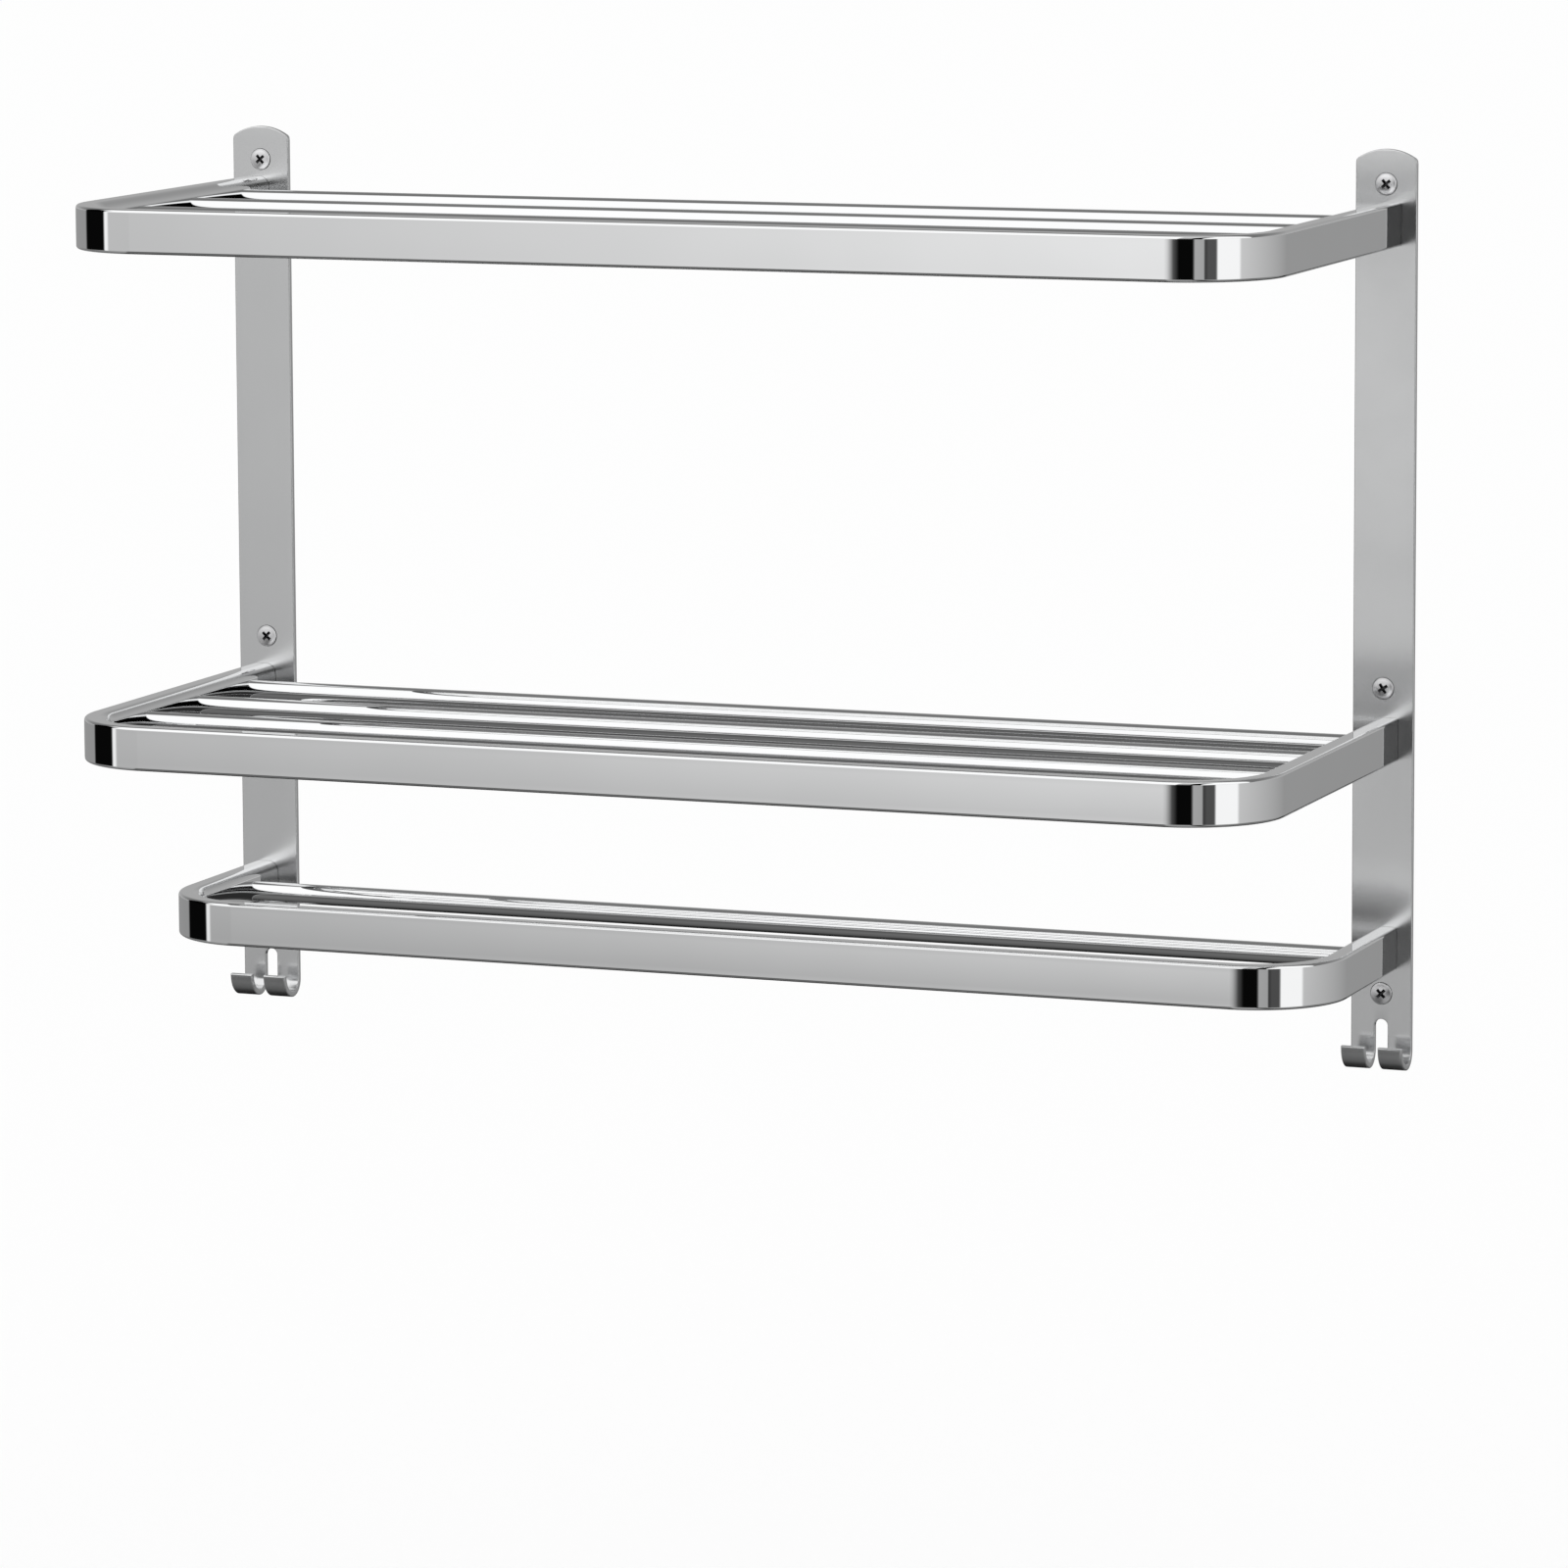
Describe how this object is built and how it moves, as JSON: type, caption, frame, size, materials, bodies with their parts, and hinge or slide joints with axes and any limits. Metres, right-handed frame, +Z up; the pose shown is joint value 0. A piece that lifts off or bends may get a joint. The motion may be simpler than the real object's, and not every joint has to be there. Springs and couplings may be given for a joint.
{
  "type": "towel rack",
  "caption": "Wall rack in polished chrome: rod shelves above a towel rail, in bent flat tube on flat wall strips that end in hooks.",
  "frame": {"origin": "on the wall plane, midway between the two wall strips, level with the lowest point of the hooks", "axes": "+X to the right as seen from the room, +Y into the wall, +Z up"},
  "size_m": [0.615, 0.2533, 0.44],
  "materials": {
    "polished_chrome": "mirror polished chrome plate",
    "screw_steel": "bright stainless, satin head",
    "end_plug_zinc": "cast zinc, matt",
    "zinc_screw": "zinc plated",
    "plug_nylon": "moulded grey nylon"
  },
  "bodies": {
    "root": {"left_wall_strip": "polished_chrome", "right_wall_strip": "polished_chrome", "top_shelf_frame": "polished_chrome", "middle_shelf_frame": "polished_chrome", "towel_rail_frame": "polished_chrome", "towel_rail_rod": "polished_chrome", "top_shelf_rod_rear": "polished_chrome", "top_shelf_rod_middle": "polished_chrome", "top_shelf_rod_front": "polished_chrome", "middle_shelf_rod_rear": "polished_chrome", "middle_shelf_rod_middle": "polished_chrome", "middle_shelf_rod_front": "polished_chrome", "left_top_wall_screw": "screw_steel", "left_top_wall_plug": "plug_nylon", "left_middle_wall_screw": "screw_steel", "left_middle_wall_plug": "plug_nylon", "left_bottom_wall_screw": "screw_steel", "left_bottom_wall_plug": "plug_nylon", "top_shelf_left_end_plug": "end_plug_zinc", "top_shelf_left_frame_screw": "zinc_screw", "middle_shelf_left_end_plug": "end_plug_zinc", "middle_shelf_left_frame_screw": "zinc_screw", "towel_rail_left_end_plug": "end_plug_zinc", "towel_rail_left_frame_screw": "zinc_screw", "right_top_wall_screw": "screw_steel", "right_top_wall_plug": "plug_nylon", "right_middle_wall_screw": "screw_steel", "right_middle_wall_plug": "plug_nylon", "right_bottom_wall_screw": "screw_steel", "right_bottom_wall_plug": "plug_nylon", "top_shelf_right_end_plug": "end_plug_zinc", "top_shelf_right_frame_screw": "zinc_screw", "middle_shelf_right_end_plug": "end_plug_zinc", "middle_shelf_right_frame_screw": "zinc_screw", "towel_rail_right_end_plug": "end_plug_zinc", "towel_rail_right_frame_screw": "zinc_screw"}
  },
  "joints": []
}
